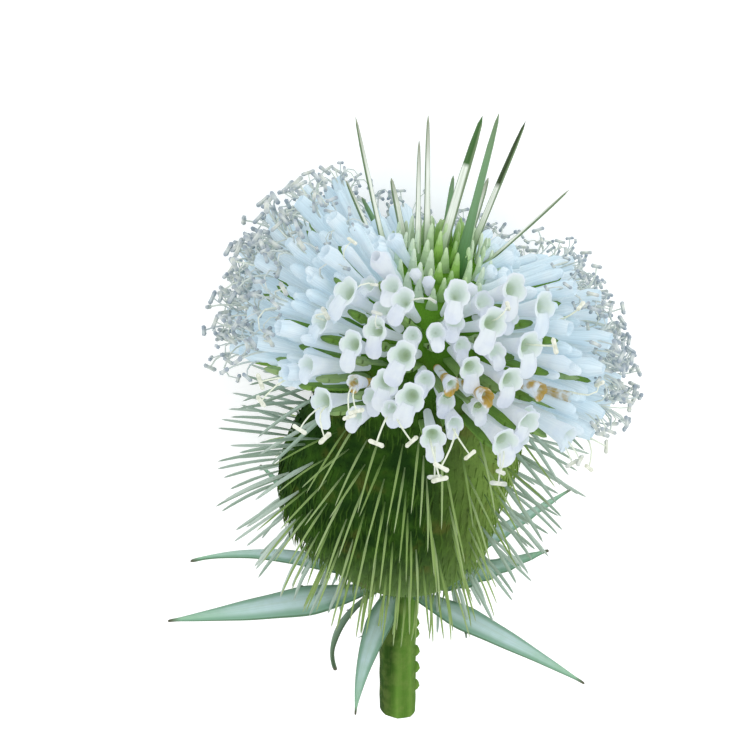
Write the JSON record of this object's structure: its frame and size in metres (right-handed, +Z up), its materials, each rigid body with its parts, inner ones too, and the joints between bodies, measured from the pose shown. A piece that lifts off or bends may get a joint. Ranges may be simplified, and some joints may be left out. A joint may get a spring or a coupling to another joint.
{
  "type": "teasel flower head",
  "caption": "Egg-shaped teasel head lying on its side: spiny green bracts, a belt of white florets, long leafy bracts and a short prickly stem.",
  "frame": {"origin": "on the surface that the head lies on, under the middle of its bounding box", "axes": "+Y along the head from the cut end of the stem to the tip, +Z up, +X to the right of one who looks down with the tip away from them"},
  "size_m": [0.0714, 0.0997, 0.0592],
  "materials": {
    "green_bract": "fresh green plant tissue, matt",
    "petal": "thin white petals, matt",
    "stem_green": "fresh green stem, satin",
    "leafy_bract": "blue-green waxy leaf, matt"
  },
  "bodies": {
    "root": {"seed_head": "green_bract", "floret_belt": "petal", "stem": "stem_green", "involucral_bract_front": "leafy_bract", "involucral_bract_front_right": "leafy_bract", "involucral_bract_right": "leafy_bract", "involucral_bract_back_right": "leafy_bract", "involucral_bract_rest_right": "leafy_bract", "involucral_bract_rest_left": "leafy_bract", "involucral_bract_back_left": "leafy_bract", "involucral_bract_far_left": "leafy_bract", "involucral_bract_front_left": "leafy_bract", "involucral_bract_curled": "leafy_bract"}
  },
  "joints": []
}
